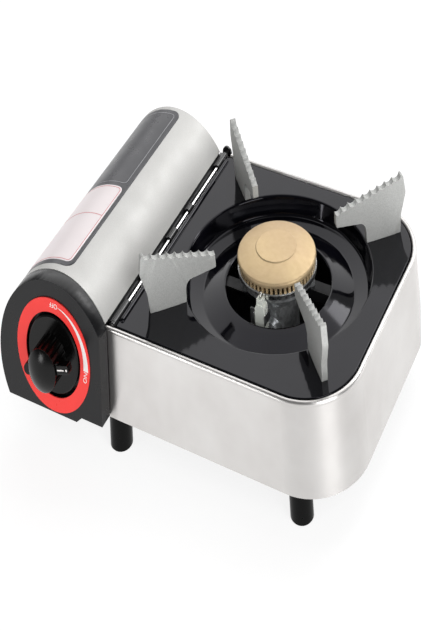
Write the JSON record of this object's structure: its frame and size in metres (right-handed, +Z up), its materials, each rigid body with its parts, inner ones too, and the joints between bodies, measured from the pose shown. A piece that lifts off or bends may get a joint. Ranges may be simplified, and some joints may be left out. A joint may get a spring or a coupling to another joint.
{
  "type": "butane cassette stove",
  "caption": "Portable gas stove with a round cartridge cover, knob and dial at the left, brass burner in a stepped black plate and diagonal pan supports.",
  "frame": {"origin": "middle of the footprint, on the table", "axes": "+X to the right seen from the knob's side, +Y towards the back, +Z up"},
  "size_m": [0.3094, 0.246, 0.1189],
  "materials": {
    "base_steel": "satin black paint",
    "stainless": "brushed",
    "enamel": "gloss enamel",
    "support": "grey cast, matte",
    "cap_brass": "forged, satin",
    "plated": "plated",
    "cast_alloy": "cast",
    "galvanised": "zinc plated",
    "ceramic": "glazed ceramic",
    "lead": "silicone sleeve",
    "white_plastic": "moulded",
    "red_plastic": "moulded",
    "rubber": "soft",
    "magnet": "ferrite",
    "knob_black": "gloss black",
    "dial_red": "printed red",
    "housing_black": "satin black",
    "cover_silver": "silver paint",
    "hinge_black": "black paint",
    "bright_steel": "bright",
    "foot_rubber": "matte black"
  },
  "bodies": {
    "stove": {"base_plate": "base_steel", "body_shell": "stainless", "top_plate": "enamel", "pan_support_fl": "support", "pan_support_fr": "support", "pan_support_bl": "support", "pan_support_br": "support", "burner_cap": "cap_brass", "burner_collar": "plated", "burner_head": "cast_alloy", "mixing_tube": "galvanised", "air_shutter": "galvanised", "gas_jet": "cap_brass", "burner_bracket": "base_steel", "bracket_screws": "plated", "electrode_insulator": "ceramic", "electrode_pin": "plated", "electrode_clip": "plated", "ignition_lead": "lead", "piezo_body": "white_plastic", "regulator_body": "cast_alloy", "regulator_cap": "cast_alloy", "regulator_screws": "plated", "cartridge_socket": "plated", "socket_magnet": "magnet", "seal_ring": "rubber", "dial_ring": "dial_red", "knob_housing": "housing_black", "housing_screws": "plated", "cartridge_tray": "galvanised", "heat_shield": "galvanised", "heat_plate": "galvanised", "hinge_bracket_front": "hinge_black", "hinge_bracket_rear": "hinge_black", "hinge_rivets": "plated", "hinge_rod": "bright_steel", "foot_fl": "foot_rubber", "foot_fr": "foot_rubber", "foot_bl": "foot_rubber", "foot_br": "foot_rubber", "foot_screws": "plated"},
    "cover": {"cartridge_cover": "cover_silver", "cover_end": "cover_silver", "cover_leaf": "hinge_black", "cover_pull": "hinge_black"},
    "dial": {"knob": "knob_black", "valve_spindle": "plated"},
    "plunger": {"piezo_plunger": "red_plastic"}
  },
  "joints": [
    {"name": "cover_hinge", "type": "hinge", "parent": "stove", "child": "cover", "pos_m": [-0.05125, 0.011, 0.08], "axis": [0, 1, 0], "range_deg": [0, 75]},
    {"name": "knob_turn", "type": "hinge", "parent": "stove", "child": "dial", "pos_m": [-0.10025, -0.109, 0.059], "axis": [0, -1, 0], "range_deg": [0, 90]},
    {"name": "igniter_stroke", "type": "slide", "parent": "stove", "child": "plunger", "axis": [-1, 0, 0], "range_m": [0, 0.00401]}
  ],
  "couplings": [
    {"joint": "igniter_stroke", "follows": "knob_turn", "m_per_rad": 0.0025465}
  ]
}
